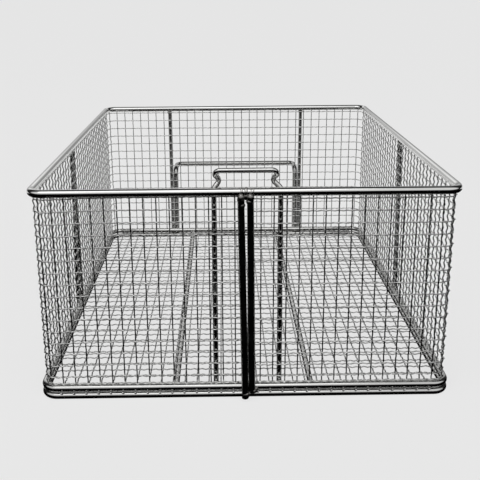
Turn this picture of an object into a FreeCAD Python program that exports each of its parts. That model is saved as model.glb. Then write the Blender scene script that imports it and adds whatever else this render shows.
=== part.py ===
import FreeCAD, Part
import math
import os
import Sketcher
from FreeCAD import Vector

# A welded stainless steel deep fryer basket of woven wire mesh on round rods.
# Millimetres, +Z up. The origin is on the surface that the basket stands on, under the middle
# of the top rim. The front, with the handle catch, is towards -Y and the rear hook towards +Y.
# Widths and lengths of rings are between the centre lines of opposite sides.

DRIVING_SIZES = {
    "ring_width": 325.0,
    "ring_length": 359.0,
    "ring_corner_radius": 11.0,
    "rim_height": 172.0,
    "rim_rod": 6.35,
    "base_rod": 5.4,
    "front_upright_rod": 5.4,
    "brace_rod": 4.7,
    "mesh_wire": 1.1,
    "mesh_pitch": 9.87,
    "mesh_inset": 0.2,
    "mesh_seam_gap": 1.6,
    "floor_long_pitch": 9.83,
    "floor_cross_pitch": 9.83,
    "floor_cross_margin": 9.9,
    "floor_wire_overhang": 1.5,
    "front_pair_gap_at_rim": 1.7,
    "front_pair_lean": 2.2,
    "front_left_foot_height": 2.2,
    "front_right_foot_height": 7.3,
    "brace_foot_height": 2.5,
    "rear_upright_spacing": 166.4,
    "left_upright_place": -15.6,
    "right_upright_place": 6.2,
    "left_floor_rod_place": -56.5,
    "right_floor_rod_place": 54.0,
    "hook_rod": 6.35,
    "hook_height": 91.1,
    "hook_reach": 27.4,
    "hook_bend_radius": 7.0,
    "catch_rod": 4.0,
    "catch_leg_centre": 1.7,
    "catch_leg_spacing": 50.8,
    "catch_foot_height": 8.3,
    "catch_jog_foot": 83.4,
    "catch_jog_height": 12.2,
    "catch_jog_depth": 2.9,
    "catch_shoulder_height": 173.0,
    "catch_head_centre": 0.6,
    "catch_neck_spacing": 39.3,
    "catch_neck_height": 178.6,
    "catch_neck_depth": 2.8,
    "catch_head_spacing": 46.6,
    "catch_head_height": 183.4,
    "catch_head_depth": -0.9,
    "catch_bar_height": 187.4,
    "catch_bar_depth": -2.5,
    "catch_jog_bend": 8.0,
    "catch_shoulder_bend": 4.5,
    "catch_neck_bend": 3.0,
    "catch_head_bend": 3.2,
    "catch_bar_bend": 3.8,
}

doc = FreeCAD.newDocument("fryer_basket")
sheet = doc.addObject("Spreadsheet::Sheet", "Sizes")
for row, (alias, value) in enumerate(DRIVING_SIZES.items(), start=1):
    sheet.set(f"A{row}", alias)
    sheet.set(f"B{row}", str(value))
    sheet.setAlias(f"B{row}", alias)
doc.recompute()

# Heights and depths that several pieces share, written once from the driving sizes.
LOWER_RING_HEIGHT = "Sizes.base_rod / 2"
LONG_WIRE_FLOOR = "Sizes.base_rod"
CROSS_WIRE_FLOOR = "Sizes.base_rod + Sizes.mesh_wire"
UPPER_RING_HEIGHT = "(1.5 * Sizes.base_rod + Sizes.mesh_wire)"
RIM_UNDERSIDE = "Sizes.rim_height - Sizes.rim_rod / 2"
HALF_WIDTH = "Sizes.ring_width / 2"
HALF_LENGTH = "Sizes.ring_length / 2"
ROW_WIRE_INSET = "(Sizes.mesh_inset + Sizes.mesh_wire / 2)"
UPRIGHT_WIRE_INSET = "(Sizes.mesh_inset + 1.5 * Sizes.mesh_wire)"
UPRIGHT_WIRE_OUTER_FACE = "(Sizes.mesh_inset + Sizes.mesh_wire)"
STRAIGHT_HALF_WIDTH = f"({HALF_WIDTH} - Sizes.ring_corner_radius)"
STRAIGHT_HALF_LENGTH = f"({HALF_LENGTH} - Sizes.ring_corner_radius)"

sub_parts = []


def size(name):
    """The value of a driving size."""
    return float(sheet.get(name))


def add_body(label):
    """An empty body that may hold several separate solids."""
    body = doc.addObject("PartDesign::Body", label)
    body.Label = label
    body.AllowCompound = True
    sub_parts.append(body)
    return body


def add_sketch(body, name, plane_role):
    """A sketch on one of the body's own origin planes."""
    plane = next(item for item in body.Origin.OriginFeatures if item.Role == plane_role)
    sketch = body.newObject("Sketcher::SketchObject", name)
    sketch.AttachmentSupport = [(plane, "")]
    sketch.MapMode = "FlatFace"
    return sketch


def bind_constraint(sketch, constraint, name, expression):
    """Adds a dimension and ties it to an expression."""
    index = sketch.addConstraint(constraint)
    sketch.renameConstraint(index, name)
    sketch.setExpression(f"Constraints.{name}", expression)


def place(body, axis_expressions):
    """Ties the body's position to expressions, one for each axis named."""
    for axis, expression in axis_expressions.items():
        body.setExpression(f"Placement.Base.{axis}", expression)


def draw_wire_section(sketch, away):
    """The square section of a mesh wire, its centre that far to the left of the sketch's origin."""
    side = size("mesh_wire")
    away_now = sketch.evalExpression(away)
    middle = Vector(-away_now, 0)
    corners = [middle + Vector(x * side / 2, y * side / 2) for x, y in ((-1, -1), (1, -1), (1, 1), (-1, 1))]
    for i in range(4):
        sketch.addGeometry(Part.LineSegment(corners[i], corners[(i + 1) % 4]), False)
    centre = sketch.addGeometry(Part.Point(middle), True)
    for i in range(4):
        sketch.addConstraint(Sketcher.Constraint("Coincident", i, 2, (i + 1) % 4, 1))
        direction = "Vertical" if i % 2 else "Horizontal"
        sketch.addConstraint(Sketcher.Constraint(direction, i))
    sketch.addConstraint(Sketcher.Constraint("Symmetric", 0, 1, 2, 1, centre, 1))
    bind_constraint(sketch, Sketcher.Constraint("DistanceX", 0, 1, 0, 2, side), "wide", "Sizes.mesh_wire")
    bind_constraint(sketch, Sketcher.Constraint("DistanceY", 1, 1, 1, 2, side), "high", "Sizes.mesh_wire")
    if away_now:
        sketch.addConstraint(Sketcher.Constraint("PointOnObject", centre, 1, -1))
        offset = Sketcher.Constraint("DistanceX", centre, 1, -1, 1, away_now)
        bind_constraint(sketch, offset, "away", away)
    else:
        sketch.addConstraint(Sketcher.Constraint("Coincident", centre, 1, -1, 1))


def draw_loop(sketch, inset, gap):
    """A round-cornered rectangle that starts and ends at the middle of the front side."""
    inset_now = sketch.evalExpression(inset)
    half_wide = size("ring_width") / 2 - inset_now
    half_long = size("ring_length") / 2 - inset_now
    radius = size("ring_corner_radius") - inset_now
    half_gap = size("mesh_seam_gap") / 2 if gap else 0.0
    right, back = half_wide - radius, half_long - radius

    def line(start, end):
        sketch.addGeometry(Part.LineSegment(Vector(*start), Vector(*end)), False)

    def arc(x, y, turn):
        circle = Part.Circle(Vector(x, y), Vector(0, 0, 1), radius)
        start = (turn - 1) * math.pi / 2
        sketch.addGeometry(Part.ArcOfCircle(circle, start, start + math.pi / 2), False)

    line((half_gap, -half_long), (right, -half_long))
    arc(right, -back, 0)
    line((half_wide, -back), (half_wide, back))
    arc(right, back, 1)
    line((right, half_long), (-right, half_long))
    arc(-right, back, 2)
    line((-half_wide, back), (-half_wide, -back))
    arc(-right, -back, 3)
    line((-right, -half_long), (-half_gap, -half_long))

    for i in range(8):
        sketch.addConstraint(Sketcher.Constraint("Tangent", i, 2, i + 1, 1))
    for i in (0, 4, 8):
        sketch.addConstraint(Sketcher.Constraint("Horizontal", i))
    for i in (2, 6):
        sketch.addConstraint(Sketcher.Constraint("Vertical", i))
    for i in (3, 5, 7):
        sketch.addConstraint(Sketcher.Constraint("Equal", 1, i))
    sketch.addConstraint(Sketcher.Constraint("Symmetric", 2, 1, 6, 2, -2))
    width = f"Sizes.ring_width - 2 * {inset}"
    length = f"Sizes.ring_length - 2 * {inset}"
    corner = f"Sizes.ring_corner_radius - {inset}"
    bind_constraint(sketch, Sketcher.Constraint("DistanceX", 6, 2, 2, 1, 2 * half_wide), "wide", width)
    bind_constraint(sketch, Sketcher.Constraint("DistanceY", 0, 2, 4, 1, 2 * half_long), "long", length)
    bind_constraint(sketch, Sketcher.Constraint("Radius", 1, radius), "corner", corner)
    rear = Sketcher.Constraint("DistanceY", -1, 1, 4, 1, half_long)
    bind_constraint(sketch, rear, "rear", f"({length}) / 2")
    if gap:
        start = Sketcher.Constraint("DistanceX", -1, 1, 0, 1, half_gap)
        end = Sketcher.Constraint("DistanceX", 8, 2, -1, 1, half_gap)
        bind_constraint(sketch, start, "start", f"{gap} / 2")
        bind_constraint(sketch, end, "end", f"{gap} / 2")
    else:
        sketch.addConstraint(Sketcher.Constraint("PointOnObject", 0, 1, -2))
        sketch.addConstraint(Sketcher.Constraint("PointOnObject", 8, 2, -2))


def add_rod_ring(label, rod, height):
    """A rod bent to a round-cornered rectangle and closed at the middle of its front side."""
    body = add_body(label)
    path = add_sketch(body, f"{label}_path", "XY_Plane")
    draw_loop(path, "0", None)
    section = add_sketch(body, f"{label}_section", "YZ_Plane")
    start = size("ring_length") / 2
    rod_now = section.evalExpression(rod)
    section.addGeometry(Part.Circle(Vector(-start, 0), Vector(0, 0, 1), rod_now / 2), False)
    bind_constraint(section, Sketcher.Constraint("Diameter", 0, rod_now), "rod", rod)
    bind_constraint(section, Sketcher.Constraint("DistanceX", 0, 3, -1, 1, start), "start", HALF_LENGTH)
    section.addConstraint(Sketcher.Constraint("PointOnObject", 0, 3, -1))
    pipe = body.newObject("PartDesign::AdditivePipe", f"{label}_rod")
    pipe.Profile = section
    pipe.Spine = (path, [])
    place(body, {"z": height})


def add_straight_rod(label, rod, start, end):
    """A round bar between two points given as expressions."""
    body = add_body(label)
    section = add_sketch(body, f"{label}_section", "XY_Plane")
    rod_now = section.evalExpression(rod)
    section.addGeometry(Part.Circle(Vector(0, 0), Vector(0, 0, 1), rod_now / 2), False)
    section.addConstraint(Sketcher.Constraint("Coincident", 0, 3, -1, 1))
    bind_constraint(section, Sketcher.Constraint("Diameter", 0, rod_now), "rod", rod)
    bar = body.newObject("PartDesign::Pad", f"{label}_bar")
    bar.Profile = section
    across, along, up = (f"(({b}) - ({a}))" for a, b in zip(start, end))
    reach = f"sqrt({across} ^ 2 + {along} ^ 2 + {up} ^ 2)"
    bar.setExpression("Length", reach)
    origin = "; ".join(start)
    turn = f"rotation(vector(-{along}; {across}; 0); acos({up} / {reach}))"
    body.setExpression("Placement", f"placement(vector({origin}); {turn})")


def add_wire_row(label, length, along, pitch, count, inset_place):
    """A row of straight wires: a square section, padded, then repeated along one axis."""
    body = add_body(label)
    section = add_sketch(body, f"{label}_section", "XY_Plane")
    draw_wire_section(section, "0")
    wire = body.newObject("PartDesign::Pad", f"{label}_wire")
    wire.Profile = section
    wire.setExpression("Length", length)
    pattern = body.newObject("PartDesign::LinearPattern", f"{label}_pattern")
    pattern.Originals = [wire]
    pattern.Direction = (section, [along])
    pattern.Mode = "Spacing"
    pattern.setExpression("Offset", pitch)
    pattern.setExpression("Occurrences", count)
    body.Tip = pattern
    place(body, inset_place)
    return body


def odd_count(half_room, pitch):
    """How many wires fit at the pitch, with one in the middle."""
    return f"2 * floor({half_room} / {pitch}) + 1"


def first_of(count, pitch):
    """Where the first of a centred row lies."""
    return f"-(({count}) - 1) / 2 * {pitch}"


def add_wall_upright_wires():
    """The wires that stand between the upper base ring and the rim, wall by wall."""
    foot = f"{UPPER_RING_HEIGHT} + sqrt((Sizes.base_rod / 2) ^ 2 - {UPRIGHT_WIRE_OUTER_FACE} ^ 2)"
    top = f"Sizes.rim_height - sqrt((Sizes.rim_rod / 2) ^ 2 - {UPRIGHT_WIRE_OUTER_FACE} ^ 2)"
    height = f"({top}) - ({foot})"
    pitch = "Sizes.mesh_pitch"
    wide_count = odd_count(STRAIGHT_HALF_WIDTH, pitch)
    long_count = odd_count(STRAIGHT_HALF_LENGTH, pitch)
    for label, sign in (("front_wall_upright_wires", "-"), ("rear_wall_upright_wires", "")):
        where = f"{sign}({HALF_LENGTH} - {UPRIGHT_WIRE_INSET})"
        spot = {"x": first_of(wide_count, pitch), "y": where, "z": foot}
        add_wire_row(label, height, "H_Axis", pitch, wide_count, spot)
    for label, sign in (("left_wall_upright_wires", "-"), ("right_wall_upright_wires", "")):
        where = f"{sign}({HALF_WIDTH} - {UPRIGHT_WIRE_INSET})"
        spot = {"x": where, "y": first_of(long_count, pitch), "z": foot}
        add_wire_row(label, height, "V_Axis", pitch, long_count, spot)
    add_corner_wires(height, foot)


def add_corner_wires(height, foot):
    """One upright wire at 45 degrees in each round corner of the mesh."""
    body = add_body("corner_upright_wires")
    section = add_sketch(body, "corner_section", "XY_Plane")
    on_arc = f"(Sizes.ring_corner_radius - {UPRIGHT_WIRE_INSET}) * sqrt(0.5)"
    right = f"{STRAIGHT_HALF_WIDTH} + {on_arc}"
    back = f"{STRAIGHT_HALF_LENGTH} + {on_arc}"
    across = "Sizes.mesh_wire * sqrt(2)"
    right_now, back_now, across_now = (section.evalExpression(value) for value in (right, back, across))
    middle = Vector(right_now, back_now)
    half = across_now / 2
    tips = [middle + Vector(x * half, y * half) for x, y in ((1, 0), (0, 1), (-1, 0), (0, -1))]
    for i in range(4):
        section.addGeometry(Part.LineSegment(tips[i], tips[(i + 1) % 4]), False)
    centre = section.addGeometry(Part.Point(middle), True)
    for i in range(4):
        section.addConstraint(Sketcher.Constraint("Coincident", i, 2, (i + 1) % 4, 1))
    section.addConstraint(Sketcher.Constraint("Symmetric", 0, 1, 2, 1, centre, 1))
    section.addConstraint(Sketcher.Constraint("Symmetric", 1, 1, 3, 1, centre, 1))
    section.addConstraint(Sketcher.Constraint("Horizontal", 0, 1, 2, 1))
    section.addConstraint(Sketcher.Constraint("Vertical", 1, 1, 3, 1))
    bind_constraint(section, Sketcher.Constraint("DistanceX", 2, 1, 0, 1, across_now), "wide", across)
    bind_constraint(section, Sketcher.Constraint("DistanceY", 3, 1, 1, 1, across_now), "deep", across)
    to_right = Sketcher.Constraint("DistanceX", -1, 1, centre, 1, right_now)
    bind_constraint(section, to_right, "right", right)
    to_back = Sketcher.Constraint("DistanceY", -1, 1, centre, 1, back_now)
    bind_constraint(section, to_back, "back", back)
    wire = body.newObject("PartDesign::Pad", "corner_wire")
    wire.Profile = section
    wire.setExpression("Length", height)
    four_corners = body.newObject("PartDesign::MultiTransform", "four_corners")
    mirrors = []
    for axis in ("V_Axis", "H_Axis"):
        mirror = body.newObject("PartDesign::Mirrored", f"mirror_{axis}")
        mirror.MirrorPlane = (section, [axis])
        mirrors.append(mirror)
    four_corners.Originals = [wire]
    four_corners.Transformations = mirrors
    body.Tip = four_corners
    place(body, {"z": foot})


def add_strip_wires(label, height, count):
    """Wires that run round the walls, outside the upright wires, open at the seam."""
    body = add_body(label)
    path = add_sketch(body, f"{label}_path", "XY_Plane")
    draw_loop(path, ROW_WIRE_INSET, "Sizes.mesh_seam_gap")
    section = add_sketch(body, f"{label}_section", "YZ_Plane")
    section.setExpression("AttachmentOffset.Base.z", "Sizes.mesh_seam_gap / 2")
    draw_wire_section(section, f"{HALF_LENGTH} - {ROW_WIRE_INSET}")
    wire = body.newObject("PartDesign::AdditivePipe", f"{label}_wire")
    wire.Profile = section
    wire.Spine = (path, [])
    pattern = body.newObject("PartDesign::LinearPattern", f"{label}_pattern")
    pattern.Originals = [wire]
    pattern.Direction = (path, ["N_Axis"])
    pattern.Reversed = True
    pattern.Mode = "Spacing"
    pattern.setExpression("Offset", "Sizes.mesh_pitch")
    pattern.setExpression("Occurrences", count)
    body.Tip = pattern
    place(body, {"z": height})


def add_wall_row_wires():
    """The rows hang from the rim down at the pitch, and the lowest wire lies on the base ring."""
    top = f"{RIM_UNDERSIDE} - Sizes.mesh_wire / 2"
    ring_top = f"({UPPER_RING_HEIGHT} + Sizes.base_rod / 2)"
    lying = f"{ring_top} + Sizes.mesh_wire / 2"
    room = f"(({top}) - ({lying}) - Sizes.mesh_wire)"
    add_strip_wires("wall_row_wires", top, f"floor({room} / Sizes.mesh_pitch) + 1")
    add_strip_wires("wall_foot_wire", lying, "1")


def add_floor_wires():
    """Two layers of straight wires: the long ones end between the base rings, front and rear."""
    long_height = f"{LONG_WIRE_FLOOR} + Sizes.mesh_wire / 2"
    cross_height = f"{CROSS_WIRE_FLOOR} + Sizes.mesh_wire / 2"
    upright = FreeCAD.Rotation(Vector(1, 0, 0), 90)
    sideways = FreeCAD.Rotation(Vector(0, 1, 0), 90)

    pitch = "Sizes.floor_long_pitch"
    count = odd_count(STRAIGHT_HALF_WIDTH, pitch)
    length = "(Sizes.ring_length + 2 * Sizes.floor_wire_overhang)"
    spot = {"x": first_of(count, pitch), "y": f"{length} / 2", "z": long_height}
    body = add_wire_row("floor_long_wires", length, "H_Axis", pitch, count, spot)
    body.Placement = FreeCAD.Placement(Vector(), upright)

    pitch = "Sizes.floor_cross_pitch"
    count = f"floor((Sizes.ring_length - 2 * Sizes.floor_cross_margin) / {pitch}) + 1"
    ring_side = "sqrt((Sizes.base_rod / 2) ^ 2 - (Sizes.base_rod / 2 - Sizes.mesh_wire) ^ 2)"
    cross_length = f"(Sizes.ring_width - 2 * {ring_side})"
    first = f"Sizes.floor_cross_margin - {HALF_LENGTH}"
    spot = {"x": f"-{cross_length} / 2", "y": first, "z": cross_height}
    body = add_wire_row("floor_cross_wires", cross_length, "V_Axis", pitch, count, spot)
    body.Placement = FreeCAD.Placement(Vector(), sideways)

    spacing = f"{length} + Sizes.mesh_wire"
    edge_length = f"2 * {STRAIGHT_HALF_WIDTH}"
    spot = {"x": f"-{STRAIGHT_HALF_WIDTH}", "y": f"-({spacing}) / 2", "z": long_height}
    body = add_wire_row("floor_edge_wires", edge_length, "V_Axis", spacing, "2", spot)
    body.Placement = FreeCAD.Placement(Vector(), sideways)


def out_at_rim(rod):
    """How far outside the ring's centre line an upright lies where it meets the rim."""
    return f"(Sizes.{rod} / 2 - Sizes.mesh_inset)"


def out_at(height, rod):
    """The same at another height: it leans out to lie against the base rings."""
    at_rim = out_at_rim(rod)
    at_ring = f"((Sizes.base_rod + Sizes.{rod}) / 2)"
    run = f"(({RIM_UNDERSIDE}) - ({UPPER_RING_HEIGHT}))"
    return f"({at_rim} + ({at_ring} - {at_rim}) * (({RIM_UNDERSIDE}) - ({height})) / {run})"


def add_front_uprights():
    """Two rods side by side over the mesh seam, a little apart at the rim, touching below."""
    rod = "front_upright_rod"
    top = RIM_UNDERSIDE
    for side, sign, foot in (
        ("left", "-", "Sizes.front_left_foot_height"),
        ("right", "", "Sizes.front_right_foot_height"),
    ):
        at_rim = f"{sign}(Sizes.{rod} + Sizes.front_pair_gap_at_rim) / 2"
        below = f"{sign}(Sizes.{rod} / 2) + Sizes.front_pair_lean"
        start = (below, f"-({HALF_LENGTH} + {out_at(foot, rod)})", foot)
        end = (at_rim, f"-({HALF_LENGTH} + {out_at(top, rod)})", top)
        add_straight_rod(f"front_upright_{side}", f"Sizes.{rod}", start, end)


def add_rear_uprights():
    """Two rods outside the rear wall."""
    rod = "brace_rod"
    top = RIM_UNDERSIDE
    foot = "Sizes.brace_foot_height"
    for side, sign in (("left", "-"), ("right", "")):
        across = f"{sign}Sizes.rear_upright_spacing / 2"
        start = (across, f"{HALF_LENGTH} + {out_at(foot, rod)}", foot)
        end = (across, f"{HALF_LENGTH} + {out_at(top, rod)}", top)
        add_straight_rod(f"rear_upright_{side}", f"Sizes.{rod}", start, end)


def add_side_uprights():
    """One rod outside each side wall, near the middle."""
    rod = "brace_rod"
    top = RIM_UNDERSIDE
    foot = "Sizes.brace_foot_height"
    for side, sign in (("left", "-"), ("right", "")):
        along = f"Sizes.{side}_upright_place"
        start = (f"{sign}({HALF_WIDTH} + {out_at(foot, rod)})", along, foot)
        end = (f"{sign}({HALF_WIDTH} + {out_at(top, rod)})", along, top)
        add_straight_rod(f"side_upright_{side}", f"Sizes.{rod}", start, end)


def add_floor_rods():
    """Two long rods inside the lower ring, with the floor mesh lying on them."""
    height = "Sizes.base_rod - Sizes.brace_rod / 2"
    reach = f"({HALF_LENGTH} - Sizes.base_rod / 2)"
    for side in ("left", "right"):
        across = f"Sizes.{side}_floor_rod_place"
        start = (across, f"-{reach}", height)
        end = (across, reach, height)
        add_straight_rod(f"floor_rod_{side}", "Sizes.brace_rod", start, end)


def rounded_path(points, bend_radii):
    """A wire of straight runs joined by tangent arcs, one bend radius for each inner point."""
    edges = []
    run_start = points[0]
    for before, corner, after, radius in zip(points, points[1:], points[2:], bend_radii):
        arrive = (corner - before).normalize()
        leave = (after - corner).normalize()
        half_turn = arrive.getAngle(leave) / 2
        tangent = radius * math.tan(half_turn)
        inward = (leave - arrive).normalize()
        arc_start = corner - arrive * tangent
        arc_middle = corner + inward * radius * (1 / math.cos(half_turn) - 1)
        arc_end = corner + leave * tangent
        edges.append(Part.LineSegment(run_start, arc_start).toShape())
        edges.append(Part.Arc(arc_start, arc_middle, arc_end).toShape())
        run_start = arc_end
    edges.append(Part.LineSegment(run_start, points[-1]).toShape())
    return Part.Wire(edges)


def add_bent_rod(label, stations, bend_radii, diameter):
    """A rod swept up one side and down the other.

    Each station is the middle and the spacing of the two sides, then their depth and height.
    """
    right_side = [Vector(middle + apart / 2, y, z) for middle, apart, y, z in stations]
    left_side = [Vector(middle - apart / 2, y, z) for middle, apart, y, z in reversed(stations)]
    points = right_side + left_side
    path = rounded_path(points, bend_radii + bend_radii[::-1])
    direction = (points[1] - points[0]).normalize()
    section = Part.Wire(Part.makeCircle(diameter / 2, points[0], direction))
    feature = doc.addObject("Part::Feature", label)
    feature.Label = label
    feature.Shape = path.makePipeShell([section], True, False)
    sub_parts.append(feature)


def add_rear_hook():
    """Legs against the inner sides of the rear uprights, bent back to a cross bar."""
    apart = size("rear_upright_spacing") - size("brace_rod") - size("hook_rod")
    leg_y = size("ring_length") / 2 + (size("base_rod") + size("hook_rod")) / 2
    bar_y = leg_y + size("hook_reach")
    height = size("hook_height")
    stations = [
        (0.0, apart, leg_y, size("brace_foot_height")),
        (0.0, apart, leg_y, height),
        (0.0, apart, bar_y, height),
    ]
    bends = [size("hook_bend_radius"), size("hook_bend_radius")]
    add_bent_rod("rear_hook", stations, bends, size("hook_rod"))


def add_handle_catch():
    """A wire inside the front wall: two legs, a neck above the rim and a looped head."""
    legs = (size("catch_leg_centre"), size("catch_leg_spacing"))
    neck = (size("catch_head_centre"), size("catch_neck_spacing"))
    head = (size("catch_head_centre"), size("catch_head_spacing"))
    wall_y = -size("ring_length") / 2 + (size("base_rod") + size("catch_rod")) / 2
    leg_y = wall_y + size("catch_jog_depth")
    jog_foot = size("catch_jog_foot")
    stations = [
        (*legs, wall_y, size("catch_foot_height")),
        (*legs, wall_y, jog_foot),
        (*legs, leg_y, jog_foot + size("catch_jog_height")),
        (*legs, leg_y, size("catch_shoulder_height")),
        (*neck, leg_y + size("catch_neck_depth"), size("catch_neck_height")),
        (*head, leg_y + size("catch_head_depth"), size("catch_head_height")),
        (*head, leg_y + size("catch_bar_depth"), size("catch_bar_height")),
    ]
    bends = ["jog", "jog", "shoulder", "neck", "head", "bar"]
    radii = [size(f"catch_{bend}_bend") for bend in bends]
    add_bent_rod("handle_catch", stations, radii, size("catch_rod"))


def check_document():
    """Stops with a plain message if any object failed or any shape is unsound."""
    for item in doc.Objects:
        if "Invalid" in item.State or "Error" in item.State:
            raise RuntimeError(f"{item.Name} failed: {item.State}")
    for item in sub_parts:
        shape = item.Shape
        if shape.isNull() or not shape.isValid() or not shape.Solids:
            raise RuntimeError(f"{item.Label} has no sound shape")
        print(item.Label, len(shape.Solids), "solids", round(shape.Volume, 1), "mm3")


add_rod_ring("top_rim", "Sizes.rim_rod", "Sizes.rim_height")
add_rod_ring("upper_base_ring", "Sizes.base_rod", UPPER_RING_HEIGHT)
add_rod_ring("lower_base_ring", "Sizes.base_rod", LOWER_RING_HEIGHT)
add_wall_upright_wires()
add_wall_row_wires()
add_floor_wires()
add_front_uprights()
add_rear_uprights()
add_side_uprights()
add_floor_rods()
add_rear_hook()
add_handle_catch()
doc.recompute()
check_document()

os.makedirs("parts", exist_ok=True)
for item in sub_parts:
    item.Shape.exportStep(f"parts/{item.Label}.step")
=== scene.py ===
import math
from itertools import accumulate

import bpy
import numpy as np
from mathutils import Matrix, Vector


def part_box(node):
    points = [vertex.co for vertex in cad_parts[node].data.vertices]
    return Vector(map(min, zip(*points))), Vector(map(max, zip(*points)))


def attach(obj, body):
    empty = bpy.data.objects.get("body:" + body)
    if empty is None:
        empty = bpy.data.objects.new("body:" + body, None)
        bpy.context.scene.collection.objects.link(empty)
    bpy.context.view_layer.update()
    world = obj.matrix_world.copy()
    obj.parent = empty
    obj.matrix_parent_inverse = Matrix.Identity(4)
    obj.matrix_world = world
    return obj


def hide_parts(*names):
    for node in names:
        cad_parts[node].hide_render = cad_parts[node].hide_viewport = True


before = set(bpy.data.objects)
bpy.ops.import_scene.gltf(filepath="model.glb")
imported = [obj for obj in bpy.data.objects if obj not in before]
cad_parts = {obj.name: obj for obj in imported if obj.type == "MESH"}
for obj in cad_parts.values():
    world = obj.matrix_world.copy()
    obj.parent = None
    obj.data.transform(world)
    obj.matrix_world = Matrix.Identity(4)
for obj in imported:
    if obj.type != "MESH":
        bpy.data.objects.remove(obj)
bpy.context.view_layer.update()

MM = 0.001

# Sizes of the woven mesh, in millimetres. A crimp is a wire's offset to one side at a crossing.

WIRE_RADIUS = 0.55
WIRE_SIDES = 6
STEPS_PER_BEND = 2
UPRIGHT_CRIMP = 0.5
ROW_CRIMP = 0.6
FLOOR_LONG_CRIMP = 0.7
FLOOR_CROSS_CRIMP = 0.4
EDGE_CRIMP = 0.25

CORNER_R = 11.0
MESH_INSET = 1.3
WALL_WIRES = 136
WALL_FIRST_WIRE = 1.9
WALL_LAST_WIRE = 8.0
WALL_BENDS = 3
ROW_PITCH = 9.94
ROWS = 16
SEAM_DROP = 2.1
SEAM_CLEAR = 0.8
CORNER_SAG = 1.3
CORNER_SAG_REACH = 28.0
SINK_IN_RIM = 0.4
SINK_IN_BASE = 0.3
STRAIGHT_END = 0.5
BOW_START = 10
BOW_HEIGHT = 157

FLOOR_PITCH = 9.83
FLOOR_BENDS = 3
FLOOR_LONG_HALF = 15
FLOOR_CROSS_FIRST = -169.6
FLOOR_CROSS_WIRES = 35
FLOOR_MIDDLE = 6.5
FLOOR_BEND_ROOM = 1.5
CROSS_END_INSET = 2.0
CROSS_STRAIGHT_END = 0.8
GROOVE_DEPTH = 1.3

# Slow unevenness: the size, the seed and the length of its waves

WANDER_ALONG = (0.25, 3, 140.0)
WANDER_HEIGHT = (0.22, 8, 170.0)
WALL_BOW = (0.25, 5, 190.0)
FOOT_WAVE = (0.25, 15, 60.0)
FLOOR_WAVE = (0.15, 21, 150.0)
LONG_WIRE_WAVE = (0.3, 31, 160.0)
CROSS_WIRE_WAVE = (0.5, 41, 160.0)
WAVES = 5

BEAD_TURNS = 14
BEAD_RINGS = 9
BEAD_LUMPS = 0.07
LUMP_LENGTH = 0.8
ROD_END_REACH = 0.5
FOOT_WELD_SHIFT = 2.0


def node_box(node):
    """A node's lowest and highest corners in millimetres."""
    low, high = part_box(node)
    return np.array(low) / MM, np.array(high) / MM


rim_low, rim_high = node_box("top_rim")
RIM_R = (rim_high[2] - rim_low[2]) / 2
RIM_Z = (rim_high[2] + rim_low[2]) / 2
HALF_W = rim_high[0] - RIM_R
HALF_L = rim_high[1] - RIM_R
base_low, base_high = node_box("upper_base_ring")
BASE_R = (base_high[2] - base_low[2]) / 2
BASE_Z = (base_high[2] + base_low[2]) / 2
GROOVE_HEIGHT = base_low[2] - WIRE_RADIUS


def crimp(place, pitch, bends, height):
    """Offset of a crimped wire at a distance from a crossing: an odd count of bends a pitch."""
    return height * np.cos(math.pi * bends * place / pitch)


def parity(k):
    return 1 if k % 2 == 0 else -1


def uneven(u, v, wave):
    """A slow wander of a few waves, the same each run."""
    size, seed, length = wave
    rng = np.random.default_rng(seed)
    total = np.zeros(np.broadcast(u, v).shape)
    for _ in range(WAVES):
        ku, kv = rng.uniform(-1, 1, 2) / length
        total = total + np.sin(2 * math.pi * (ku * u + kv * v) + rng.uniform(0, 2 * math.pi))
    return size * (total / WAVES)


# The wall strip: a flat strip of woven mesh bent round the rounded rectangle

strip_r = CORNER_R - MESH_INSET
strip_w = HALF_W - MESH_INSET
strip_l = HALF_L - MESH_INSET
run_x = strip_w - strip_r
run_y = strip_l - strip_r
quarter = strip_r * math.pi / 2
RUNS = [run_x, quarter, 2 * run_y, quarter, 2 * run_x, quarter, 2 * run_y, quarter, run_x]
STARTS = [0.0] + list(accumulate(RUNS))
STRIP = STARTS[-1]
CORNERS = (1, 3, 5, 7)
WALL_PITCH = (STRIP - WALL_LAST_WIRE - WALL_FIRST_WIRE) / (WALL_WIRES - 1)


def strip_point(s):
    """Point and outward direction at a distance along the strip from the front seam."""
    s = np.asarray(s, float) % STRIP
    x = np.zeros_like(s)
    y = np.zeros_like(s)
    nx = np.zeros_like(s)
    ny = np.zeros_like(s)
    straights = [
        (0, (0, -strip_l), (1, 0), (0, -1)),
        (2, (strip_w, -run_y), (0, 1), (1, 0)),
        (4, (run_x, strip_l), (-1, 0), (0, 1)),
        (6, (-strip_w, run_y), (0, -1), (-1, 0)),
        (8, (-run_x, -strip_l), (1, 0), (0, -1)),
    ]
    for i, start, step, out in straights:
        here = (s >= STARTS[i]) & (s <= STARTS[i + 1])
        d = s[here] - STARTS[i]
        x[here] = start[0] + step[0] * d
        y[here] = start[1] + step[1] * d
        nx[here] = out[0]
        ny[here] = out[1]
    centres = [(run_x, -run_y), (run_x, run_y), (-run_x, run_y), (-run_x, -run_y)]
    for i, centre, begin in zip(CORNERS, centres, (-90, 0, 90, 180)):
        here = (s > STARTS[i]) & (s < STARTS[i + 1])
        a = math.radians(begin) + (s[here] - STARTS[i]) / strip_r
        nx[here] = np.cos(a)
        ny[here] = np.sin(a)
        x[here] = centre[0] + strip_r * nx[here]
        y[here] = centre[1] + strip_r * ny[here]
    return x, y, nx, ny


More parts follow.
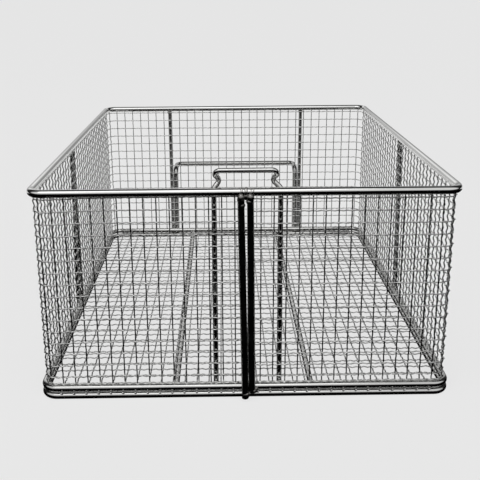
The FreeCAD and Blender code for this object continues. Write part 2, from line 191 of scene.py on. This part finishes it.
def row_height(j, s):
    """Height of row wire j. Rows start low right of the seam and sag at the front left corner."""
    top = RIM_Z - RIM_R - WIRE_RADIUS
    s = np.asarray(s)
    corner = (STARTS[7] + STARTS[8]) / 2
    sag = CORNER_SAG * np.exp(-((s - corner) / CORNER_SAG_REACH) ** 2)
    return top - ROW_PITCH * j - SEAM_DROP * (1 - s / STRIP) - sag


def strip_surface(s, z, out):
    """Points and outward directions at a height and an offset from the strip's middle surface."""
    x, y, nx, ny = strip_point(s + uneven(s, z, WANDER_ALONG))
    rise = np.clip((z - BOW_START) / BOW_HEIGHT, 0, 1)
    bow = out + uneven(s, z, WALL_BOW) * np.sin(np.pi * rise)
    points = np.stack([x + nx * bow, y + ny * bow, z + uneven(s, z, WANDER_HEIGHT)], axis=-1)
    return points, np.stack([nx, ny, np.zeros_like(nx)], axis=-1)


def upward(count):
    return np.tile([0.0, 0.0, 1.0], (count, 1))


def upright_wire(k):
    """An upright wire of the strip, crimped over and under the rows."""
    s = WALL_FIRST_WIRE + WALL_PITCH * k
    step = ROW_PITCH / (WALL_BENDS * STEPS_PER_BEND)
    first_row = row_height(0, s)
    top = RIM_Z - math.sqrt(RIM_R ** 2 - MESH_INSET ** 2) + SINK_IN_RIM
    foot = BASE_Z + math.sqrt(BASE_R ** 2 - MESH_INSET ** 2) - SINK_IN_BASE
    z = first_row - step * np.arange(-2, (ROWS + 1) * WALL_BENDS * STEPS_PER_BEND)
    z = z[(z < top - STRAIGHT_END) & (z > foot + STRAIGHT_END)]
    offset = crimp(z - first_row, ROW_PITCH, WALL_BENDS, parity(k) * UPRIGHT_CRIMP)
    z = np.concatenate([[top], z, [foot]])
    offset = np.concatenate([[0.0], offset, [0.0]])
    return strip_surface(np.full_like(z, s), z, offset)


def wire_along_strip(height, side):
    """A wire that runs round the basket from the seam back to the seam."""
    step = WALL_PITCH / (WALL_BENDS * STEPS_PER_BEND)
    s = WALL_FIRST_WIRE + step * np.arange(-1, WALL_WIRES * WALL_BENDS * STEPS_PER_BEND)
    s = s[(s > SEAM_CLEAR) & (s < STRIP - SEAM_CLEAR)]
    offset = crimp(s - WALL_FIRST_WIRE, WALL_PITCH, WALL_BENDS, side * ROW_CRIMP)
    points, _ = strip_surface(s, height(s), offset)
    return points, upward(len(s))


def row_wire(j):
    return wire_along_strip(lambda s: row_height(j, s), -parity(j))


def foot_wire():
    """The lowest wire of the strip, which lies along the top of the upper base ring."""
    lying = BASE_Z + math.sqrt(BASE_R ** 2 - MESH_INSET ** 2) + WIRE_RADIUS
    return wire_along_strip(lambda s: lying + uneven(s, 0 * s, FOOT_WAVE), -parity(ROWS))


def wires_of_wall(first, last):
    """The upright wires between two places along the strip."""
    chosen = [k for k in range(WALL_WIRES) if first <= WALL_FIRST_WIRE + WALL_PITCH * k < last]
    return [upright_wire(k) for k in chosen]


# The floor mesh

def floor_line(first, last, crossing):
    """Places along a floor wire, a step apart, counted from a crossing."""
    step = FLOOR_PITCH / (FLOOR_BENDS * STEPS_PER_BEND)
    low = math.ceil((first - crossing) / step)
    high = math.floor((last - crossing) / step)
    return crossing + step * np.arange(low, high + 1)


def floor_long_wire(i):
    """A long floor wire. Its ends pass between the base rings and cross the wire in the groove."""
    x = FLOOR_PITCH * i
    inside = HALF_L - BASE_R - FLOOR_BEND_ROOM
    y = floor_line(-inside, inside, FLOOR_CROSS_FIRST)
    height = parity(i) * FLOOR_LONG_CRIMP
    z = FLOOR_MIDDLE + crimp(y - FLOOR_CROSS_FIRST, FLOOR_PITCH, FLOOR_BENDS, height)
    x_line = x + uneven(np.full_like(y, x), y, LONG_WIRE_WAVE)
    z = z + uneven(x_line, y, FLOOR_WAVE)
    end_y = [HALF_L - BASE_R, HALF_L, HALF_L + GROOVE_DEPTH, HALF_L + BASE_R]
    lift = parity(i) * WIRE_RADIUS
    end_z = [GROOVE_HEIGHT, GROOVE_HEIGHT, GROOVE_HEIGHT + lift, GROOVE_HEIGHT + lift / 2]
    y = np.concatenate([[-place for place in reversed(end_y)], y, end_y])
    z = np.concatenate([end_z[::-1], z, end_z])
    x_line = np.concatenate([[x] * len(end_y), x_line, [x] * len(end_y)])
    return np.stack([x_line, y, z], axis=-1), upward(len(y))


def floor_cross_wire(j):
    """A cross floor wire, ending against the upper base ring."""
    y = FLOOR_CROSS_FIRST + FLOOR_PITCH * j
    end = HALF_W - CROSS_END_INSET
    x = floor_line(-end + CROSS_STRAIGHT_END, end - CROSS_STRAIGHT_END, 0.0)
    z = crimp(x, FLOOR_PITCH, FLOOR_BENDS, -parity(j) * FLOOR_CROSS_CRIMP)
    x = np.concatenate([[-end], x, [end]])
    z = FLOOR_MIDDLE + np.concatenate([[0.0], z, [0.0]])
    y_line = y + uneven(x, np.full_like(x, y), CROSS_WIRE_WAVE)
    z += uneven(x, y_line, FLOOR_WAVE)
    return np.stack([x, y_line, z], axis=-1), upward(len(x))


def floor_edge_wire(side):
    """The outermost cross wire, in the groove between the base rings."""
    end = HALF_W - CORNER_R
    x = floor_line(-end, end, 0.0)
    z = GROOVE_HEIGHT + crimp(x, FLOOR_PITCH, FLOOR_BENDS, -EDGE_CRIMP)
    y = np.full_like(x, side * (HALF_L + GROOVE_DEPTH))
    return np.stack([x, y, z], axis=-1), upward(len(x))


# Materials

PATCH_SPAN = (0.35, 0.7)
PATCH_DETAIL = 5.0
TONE_SPAN = (0.3, 0.7)
TONE_SCALE = 0.35
TONE_DETAIL = 3.0
TONE_DARKEST = 0.88
MARKS_SCALE = 900.0
MARKS_DETAIL = 4.0
MARKS_DEPTH = 0.0001


def link(tree, a, out, b, into):
    tree.links.new(a.outputs[out], b.inputs[into])


def add_noise(tree, place, scale, detail):
    noise = tree.nodes.new("ShaderNodeTexNoise")
    noise.inputs["Scale"].default_value = scale
    noise.inputs["Detail"].default_value = detail
    link(tree, place, "Object", noise, "Vector")
    return noise


def map_range(tree, spans):
    """A node that maps a value from one range, the first two numbers, to another."""
    node = tree.nodes.new("ShaderNodeMapRange")
    for name, value in zip(("From Min", "From Max", "To Min", "To Max"), spans):
        node.inputs[name].default_value = value
    return node


def steel(name, colour, rough_low, rough_high, scale, bump):
    """Polished steel with fine drawn marks, duller patches and slight changes of tone."""
    material = bpy.data.materials.new(name)
    material.use_nodes = True
    tree = material.node_tree
    shader = tree.nodes["Principled BSDF"]
    shader.inputs["Metallic"].default_value = 1.0
    place = tree.nodes.new("ShaderNodeTexCoord")

    patches = add_noise(tree, place, scale, PATCH_DETAIL)
    rough = map_range(tree, (*PATCH_SPAN, rough_low, rough_high))
    link(tree, patches, "Fac", rough, "Value")
    link(tree, rough, "Result", shader, "Roughness")

    tone = add_noise(tree, place, scale * TONE_SCALE, TONE_DETAIL)
    ramp = tree.nodes.new("ShaderNodeValToRGB")
    dark_end, light_end = ramp.color_ramp.elements
    dark_end.position, light_end.position = TONE_SPAN
    dark_end.color = (*[c * TONE_DARKEST for c in colour], 1)
    light_end.color = (*colour, 1)
    link(tree, tone, "Fac", ramp, "Fac")
    link(tree, ramp, "Color", shader, "Base Color")

    marks = add_noise(tree, place, MARKS_SCALE, MARKS_DETAIL)
    relief = tree.nodes.new("ShaderNodeBump")
    relief.inputs["Strength"].default_value = bump
    relief.inputs["Distance"].default_value = MARKS_DEPTH
    link(tree, marks, "Fac", relief, "Height")
    link(tree, relief, "Normal", shader, "Normal")
    return material


RIM_STEEL = steel("rim_steel", (0.86, 0.86, 0.85), 0.05, 0.13, 60.0, 0.15)
ROD_STEEL = steel("rod_steel", (0.72, 0.72, 0.71), 0.08, 0.20, 80.0, 0.2)
BENT_STEEL = steel("bent_rod_steel", (0.76, 0.76, 0.75), 0.10, 0.22, 70.0, 0.25)
WIRE_STEEL = steel("wire_steel", (0.78, 0.78, 0.77), 0.10, 0.20, 120.0, 0.1)
# Painted light: the floor wires are the same wire as the walls but get a lighter grey, for the
# light that falls on them from above.
FLOOR_LIT_STEEL = steel("floor_wire_painted_light_steel", (0.92, 0.92, 0.91), 0.20, 0.34, 120.0, 0.1)
# Painted shade: the wire in the groove between the base rings gets a dark grey, for the shade in
# that groove.
EDGE_SHADED_STEEL = steel("edge_wire_painted_shade_steel", (0.42, 0.42, 0.41), 0.10, 0.20, 120.0, 0.1)
# Painted highlight: the row wires are the same wire as the uprights but get a lighter grey, for
# their glints.
ROW_LIT_STEEL = steel("row_wire_painted_highlight_steel", (0.92, 0.92, 0.91), 0.08, 0.16, 120.0, 0.1)
# Painted shade: the rear uprights and rear hook are the same steel as the other rods but get a
# darker grey, as they lie in shade.
REAR_SHADED_STEEL = steel("rear_rod_painted_shade_steel", (0.54, 0.54, 0.53), 0.08, 0.20, 80.0, 0.2)
# Weld tint, and painted shade: the rod welds are darkened well below the rim weld, so they read
# dark where they would reflect the sky.
WELD_TINT_AND_SHADE_STEEL = steel("weld_tint_and_painted_shade_steel", (0.33, 0.32, 0.31), 0.16, 0.34, 300.0, 0.8)
RIM_WELD_STEEL = steel("rim_weld_steel", (0.74, 0.73, 0.71), 0.22, 0.40, 300.0, 1.0)
TIP_STEEL = steel("cut_wire_steel", (0.90, 0.90, 0.89), 0.40, 0.60, 300.0, 0.3)


def dress(material, *nodes):
    """Gives kept CAD nodes their material."""
    for node in nodes:
        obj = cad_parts[node]
        obj.data.materials.clear()
        obj.data.materials.append(material)


dress(RIM_STEEL, "top_rim")
dress(ROD_STEEL, "upper_base_ring", "lower_base_ring", "floor_rod_left", "floor_rod_right",
      "front_upright_left", "front_upright_right", "side_upright_left", "side_upright_right")
dress(REAR_SHADED_STEEL, "rear_upright_left", "rear_upright_right", "rear_hook")
dress(BENT_STEEL, "handle_catch")


def add_object(name, points, faces, material):
    """A smooth piece of the basket, from points in millimetres."""
    mesh = bpy.data.meshes.new(name)
    mesh.from_pydata((points * MM).tolist(), [], faces)
    mesh.update()
    mesh.shade_smooth()
    obj = bpy.data.objects.new(name, mesh)
    bpy.context.scene.collection.objects.link(obj)
    obj.data.materials.append(material)
    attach(obj, "root")
    return obj


# Woven mesh

def tubes(wires):
    """Points and faces of round wires, from each wire's points and a sideways direction at each."""
    all_points, faces = [], []
    count = 0
    turn = np.arange(WIRE_SIDES) * 2 * math.pi / WIRE_SIDES
    for points, normals in wires:
        tangents = np.gradient(points, axis=0)
        tangents /= np.linalg.norm(tangents, axis=1, keepdims=True)
        across = normals - tangents * np.sum(normals * tangents, axis=1, keepdims=True)
        across /= np.linalg.norm(across, axis=1, keepdims=True)
        along = np.cross(tangents, across)
        ring = (across[:, None, :] * np.cos(turn)[None, :, None]
                + along[:, None, :] * np.sin(turn)[None, :, None])
        all_points.append((points[:, None, :] + WIRE_RADIUS * ring).reshape(-1, 3))
        n = len(points)
        i = np.arange(n - 1)[:, None] * WIRE_SIDES
        k = np.arange(WIRE_SIDES)[None, :]
        k_next = (k + 1) % WIRE_SIDES
        quads = np.stack([i + k, i + k_next, i + WIRE_SIDES + k_next, i + WIRE_SIDES + k], axis=-1)
        faces.extend((quads.reshape(-1, 4) + count).tolist())
        faces.append([count + c for c in reversed(range(WIRE_SIDES))])
        faces.append([count + (n - 1) * WIRE_SIDES + c for c in range(WIRE_SIDES)])
        count += n * WIRE_SIDES
    return np.concatenate(all_points), faces


def add_weave(name, wires, *nodes, material=WIRE_STEEL):
    """Woven wires in the place of the straight ones of CAD nodes."""
    obj = add_object(name, *tubes(wires), material)
    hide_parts(*nodes)


front_right = wires_of_wall(0, STARTS[1])
front_left = wires_of_wall(STARTS[8], STRIP)
add_weave("front_wall_weave", front_right + front_left, "front_wall_upright_wires")
add_weave("right_wall_weave", wires_of_wall(STARTS[2], STARTS[3]), "right_wall_upright_wires")
add_weave("rear_wall_weave", wires_of_wall(STARTS[4], STARTS[5]), "rear_wall_upright_wires")
add_weave("left_wall_weave", wires_of_wall(STARTS[6], STARTS[7]), "left_wall_upright_wires")
corners = [wire for i in CORNERS for wire in wires_of_wall(STARTS[i], STARTS[i + 1])]
add_weave("corner_weave", corners, "corner_upright_wires")
rows = [row_wire(j) for j in range(ROWS)]
upper_rows = rows[:ROWS // 2]
lower_rows = rows[ROWS // 2:] + [foot_wire()]
add_weave("upper_row_weave", upper_rows, "wall_row_wires", material=ROW_LIT_STEEL)
add_weave("lower_row_weave", lower_rows, "wall_foot_wire", material=ROW_LIT_STEEL)
long_range = range(-FLOOR_LONG_HALF, FLOOR_LONG_HALF + 1)
long_wires = [floor_long_wire(i) for i in long_range]
add_weave("floor_long_weave", long_wires, "floor_long_wires", material=FLOOR_LIT_STEEL)
cross_wires = [floor_cross_wire(j) for j in range(FLOOR_CROSS_WIRES)]
add_weave("floor_cross_weave", cross_wires, "floor_cross_wires", material=FLOOR_LIT_STEEL)
edge_wires = [floor_edge_wire(side) for side in (-1, 1)]
add_weave("floor_edge_weave", edge_wires, "floor_edge_wires", material=EDGE_SHADED_STEEL)


# Weld beads. Each is given as a centre and three radii, in millimetres.

def bead(centre, radii, seed):
    """Points and faces of one lumpy bead of weld."""
    a = np.arange(BEAD_TURNS) * 2 * math.pi / BEAD_TURNS
    b = np.arange(1, BEAD_RINGS) * math.pi / BEAD_RINGS
    x = np.outer(np.sin(b), np.cos(a))
    y = np.outer(np.sin(b), np.sin(a))
    z = np.outer(np.cos(b), 0 * a + 1)
    ball = np.concatenate([np.stack([x, y, z], axis=-1).reshape(-1, 3), [[0, 0, 1], [0, 0, -1]]])
    lumps = 1 + uneven(ball[:, 0] + 2 * ball[:, 2], ball[:, 1], (BEAD_LUMPS, seed, LUMP_LENGTH))
    points = np.array(centre) + ball * lumps[:, None] * np.array(radii)
    top, low = len(ball) - 2, len(ball) - 1
    last = (BEAD_RINGS - 2) * BEAD_TURNS
    faces = []
    for k in range(BEAD_TURNS):
        k_next = (k + 1) % BEAD_TURNS
        faces.append((top, k, k_next))
        for above in range(0, last, BEAD_TURNS):
            below = above + BEAD_TURNS
            faces.append((above + k, below + k, below + k_next, above + k_next))
        faces.append((low, last + k_next, last + k))
    return points, faces


def add_beads(name, places, material):
    """One object of lumpy beads."""
    points, faces = [], []
    count = 0
    for seed, (centre, radii) in enumerate(places):
        own_points, own_faces = bead(centre, radii, seed)
        points.append(own_points)
        faces += [tuple(count + v for v in face) for face in own_faces]
        count += len(own_points)
    obj = add_object(name, np.concatenate(points), faces, material)


def rod_end(node, top, side=0):
    """Centre of an upright rod's top or foot, or of a bent rod's on one side of the middle."""
    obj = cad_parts[node]
    points = np.array([obj.matrix_world @ v.co for v in obj.data.vertices]) / MM
    if side:
        points = points[points[:, 0] * side > 0]
    z = points[:, 2]
    near = z > z.max() - ROD_END_REACH if top else z < z.min() + ROD_END_REACH
    return points[near].mean(axis=0)


def wall_welds(node, out):
    """Beads of an upright rod at the rim and on both sides of the rod at the upper base ring."""
    across = np.array([out[1], out[0], 0]) * FOOT_WELD_SHIFT
    inward = -np.array([*out, 0]) * FOOT_WELD_SHIFT
    foot = rod_end(node, False)
    foot[2] = BASE_Z
    return [
        (rod_end(node, True) - [0, 0, 1.2], (2.9, 2.9, 4.4)),
        (foot + across + inward, (1.4, 1.4, 2.2)),
        (foot - across + inward, (1.4, 1.4, 2.2)),
    ]


rods = [
    ("rear_upright_left", (0, 1)),
    ("rear_upright_right", (0, 1)),
    ("side_upright_left", (-1, 0)),
    ("side_upright_right", (1, 0)),
]
rod_welds = [place for node, out in rods for place in wall_welds(node, out)]
left_top = rod_end("front_upright_left", True)
right_top = rod_end("front_upright_right", True)
left_foot = rod_end("front_upright_left", False)
right_foot = rod_end("front_upright_right", False)
rod_welds += [
    (left_top - [0, 0, 1.5], (2.95, 3.0, 4.6)),
    (left_top - [-0.4, 0, 6.5], (2.9, 3.0, 3.0)),
    (right_top - [0, 0, 0.8], (2.95, 3.0, 3.6)),
    (right_top - [0.5, 0, 3.6], (2.9, 3.0, 2.4)),
    ((left_top + right_top) / 2 + [0.3, 1.5, 0], (2.4, 2.6, 3.0)),
    (left_foot + [0.2, 0, 2.6], (3.4, 3.2, 3.6)),
    (right_foot + [0.6, 0.3, 1.2], (3.3, 3.1, 2.2)),
    (right_foot + [3.2, 1.4, 1.6], (1.8, 1.8, 2.2)),
]
add_beads("rod_welds", rod_welds, WELD_TINT_AND_SHADE_STEEL)
bent_rods = [
    ("handle_catch", [0.4, 0, 0.6], (2.7, 2.4, 2.3)),
    ("rear_hook", [0, -1.5, 2.5], (3.5, 2.6, 3.4)),
]
foot_welds = [(rod_end(node, False, side) + shift, radii)
              for node, shift, radii in bent_rods for side in (-1, 1)]
add_beads("foot_welds", foot_welds, RIM_WELD_STEEL)
rim_weld = [
    ((-2.9, -HALF_L - 0.2, RIM_Z + 0.2), (2.3, 3.3, 3.4)),
    ((0.3, -HALF_L, RIM_Z), (2.8, 3.6, 3.7)),
    ((3.9, -HALF_L - 0.3, RIM_Z - 0.1), (2.0, 3.3, 3.4)),
    ((5.9, -HALF_L - 0.1, RIM_Z + 0.2), (1.4, 3.3, 3.2)),
]
add_beads("rim_weld", rim_weld, RIM_WELD_STEEL)
tip_y = HALF_L + BASE_R + 0.1
tip_z = GROOVE_HEIGHT + 0.2
tips = [((FLOOR_PITCH * i, side * tip_y, tip_z), (0.85, 1.2, 0.85))
        for i in long_range for side in (-1, 1)]
add_beads("floor_wire_tips", tips, TIP_STEEL)


# Stage, in metres: a pale floor, and a dark card on it that only mirrored rays see

FLOOR_REACH = 60.0
FLOOR_COLOUR = 0.8
FLOOR_GLOW = 0.91
FLOOR_GLOW_SHARE = 0.8
CARD_DEPTH = (-30.0, 0.178)
CARD_HEIGHT = 0.0003
CARD_COLOUR = 0.002


def grey(level):
    return (level, level, level, 1)


def empty_material(name):
    """A material's node tree with nothing but its output."""
    material = bpy.data.materials.new(name)
    material.use_nodes = True
    tree = material.node_tree
    tree.nodes.clear()
    return material, tree, tree.nodes.new("ShaderNodeOutputMaterial")


def stage_plane(name, depth, z, material):
    """A wide flat plane from a nearest to a farthest place in depth."""
    mesh = bpy.data.meshes.new(name)
    near, far = depth
    left, right = -FLOOR_REACH, FLOOR_REACH
    points = [(left, near, z), (right, near, z), (right, far, z), (left, far, z)]
    mesh.from_pydata(points, [], [(0, 1, 2, 3)])
    mesh.materials.append(material)
    obj = bpy.data.objects.new(name, mesh)
    bpy.context.scene.collection.objects.link(obj)
    return obj


def math_node(tree, operation, a, b):
    """A calculation with two sockets or numbers."""
    node = tree.nodes.new("ShaderNodeMath")
    node.operation = operation
    for i, value in enumerate((a, b)):
        if isinstance(value, (int, float)):
            node.inputs[i].default_value = value
        else:
            tree.links.new(value, node.inputs[i])
    return node.outputs[0]


def floor_material():
    """A grey floor with shadows, and an even glow for camera, glossy and transmission rays."""
    material, tree, out = empty_material("pale_floor")
    diffuse = tree.nodes.new("ShaderNodeBsdfDiffuse")
    diffuse.inputs["Color"].default_value = grey(FLOOR_COLOUR)
    glow = tree.nodes.new("ShaderNodeEmission")
    glow.inputs["Color"].default_value = grey(FLOOR_GLOW)
    rays = tree.nodes.new("ShaderNodeLightPath").outputs
    seen = math_node(tree, "ADD", rays["Is Camera Ray"], rays["Is Glossy Ray"])
    seen = math_node(tree, "ADD", seen, rays["Is Transmission Ray"])
    mix = tree.nodes.new("ShaderNodeMixShader")
    tree.links.new(math_node(tree, "MULTIPLY", seen, FLOOR_GLOW_SHARE), mix.inputs["Fac"])
    tree.links.new(diffuse.outputs[0], mix.inputs[1])
    tree.links.new(glow.outputs[0], mix.inputs[2])
    tree.links.new(mix.outputs[0], out.inputs["Surface"])
    return material


def dark_material():
    material, tree, out = empty_material("dark_card")
    velvet = tree.nodes.new("ShaderNodeBsdfDiffuse")
    velvet.inputs["Color"].default_value = grey(CARD_COLOUR)
    tree.links.new(velvet.outputs[0], out.inputs["Surface"])
    return material


stage_plane("floor", (-FLOOR_REACH, FLOOR_REACH), 0.0, floor_material())
card = stage_plane("dark_card", CARD_DEPTH, CARD_HEIGHT, dark_material())
card.visible_camera = False
card.visible_diffuse = False
card.visible_transmission = False
card.visible_shadow = False


# Light

LEAST_HEIGHT = 0.02


def sky():
    """White overhead and in front, dark above the rear, with a grey band low down behind."""
    world = bpy.data.worlds.new("studio")
    bpy.context.scene.world = world
    world.use_nodes = True
    tree = world.node_tree
    tree.nodes.clear()
    out = tree.nodes.new("ShaderNodeOutputWorld")
    back = tree.nodes.new("ShaderNodeBackground")
    tree.links.new(back.outputs[0], out.inputs["Surface"])
    place = tree.nodes.new("ShaderNodeTexCoord")
    split = tree.nodes.new("ShaderNodeSeparateXYZ")
    link(tree, place, "Generated", split, "Vector")

    def smooth(value, low, high, start, end):
        """A soft step from start to end, as the value goes from low to high."""
        node = map_range(tree, (low, high, start, end))
        node.interpolation_type = "SMOOTHSTEP"
        tree.links.new(value, node.inputs["Value"])
        return node.outputs["Result"]

    def product(a, b):
        return math_node(tree, "MULTIPLY", a, b)

    height = split.outputs["Z"]
    depth = split.outputs["Y"]
    side = split.outputs["X"]
    above = smooth(height, 0.08, 0.44, 0.0, 0.76)
    steep = math_node(tree, "MAXIMUM", height, LEAST_HEIGHT)
    lean = math_node(tree, "DIVIDE", depth, steep)
    not_behind = smooth(lean, -0.42, 0.12, 1.0, 0.03)
    overhead = product(above, not_behind)
    behind = smooth(depth, 0.55, 0.80, 0.0, 1.0)
    low = smooth(height, 0.46, 0.64, 1.0, 0.0)
    level = smooth(height, 0.27, 0.36, 0.5, 0.9)
    rightward = smooth(side, -0.05, 0.2, 1.0, 0.6)
    glow = product(product(behind, low), product(level, rightward))
    total = math_node(tree, "ADD", overhead, glow)
    tree.links.new(total, back.inputs["Strength"])
    back.inputs["Color"].default_value = grey(1.0)


sky()

lamp_data = bpy.data.lights.new("softbox", "AREA")
lamp_data.shape = "RECTANGLE"
lamp_data.size = 1.6
lamp_data.size_y = 1.2
lamp_data.energy = 5.0
lamp = bpy.data.objects.new("softbox", lamp_data)
lamp.location = (-0.3, -0.9, 1.9)
aim = Vector((0, 0, 0.05)) - lamp.location
lamp.rotation_euler = aim.to_track_quat("-Z", "Y").to_euler()
bpy.context.scene.collection.objects.link(lamp)


# Camera, solved from the corners of the rim and of the base rings in the photograph. Its vertical
# shift is held at -0.18, so that views from other sides still show most of the basket.

SENSOR_WIDTH = 36.0
PICTURE_SIDE = 480
CAMERA_PLACE_MM = (-17.18, -654.67, 318.88)
FOCAL_PIXELS = 666.23
AXIS_PIXEL = (228.33, 153.6)
PITCH, YAW, ROLL = 13.8637, -0.5529, -0.4161


def add_camera():
    data = bpy.data.cameras.new("camera")
    data.sensor_width = SENSOR_WIDTH
    data.lens = FOCAL_PIXELS / PICTURE_SIDE * SENSOR_WIDTH
    data.shift_x = (PICTURE_SIDE / 2 - AXIS_PIXEL[0]) / PICTURE_SIDE
    data.shift_y = (AXIS_PIXEL[1] - PICTURE_SIDE / 2) / PICTURE_SIDE
    data.clip_start = 0.05
    data.clip_end = 300.0
    obj = bpy.data.objects.new("camera", data)
    p, w, r = (math.radians(value) for value in (PITCH, YAW, ROLL))
    forward = Vector((-math.sin(w) * math.cos(p), math.cos(w) * math.cos(p), -math.sin(p)))
    right = Vector((math.cos(w), math.sin(w), 0))
    up = right.cross(forward)
    right_rolled = math.cos(r) * right + math.sin(r) * up
    up_rolled = -math.sin(r) * right + math.cos(r) * up
    turn = Matrix((right_rolled, up_rolled, -forward)).transposed()
    obj.matrix_world = Matrix.Translation(Vector(CAMERA_PLACE_MM) * MM) @ turn.to_4x4()
    bpy.context.scene.collection.objects.link(obj)
    bpy.context.scene.camera = obj


add_camera()

scene = bpy.context.scene
scene.view_settings.view_transform = "Standard"
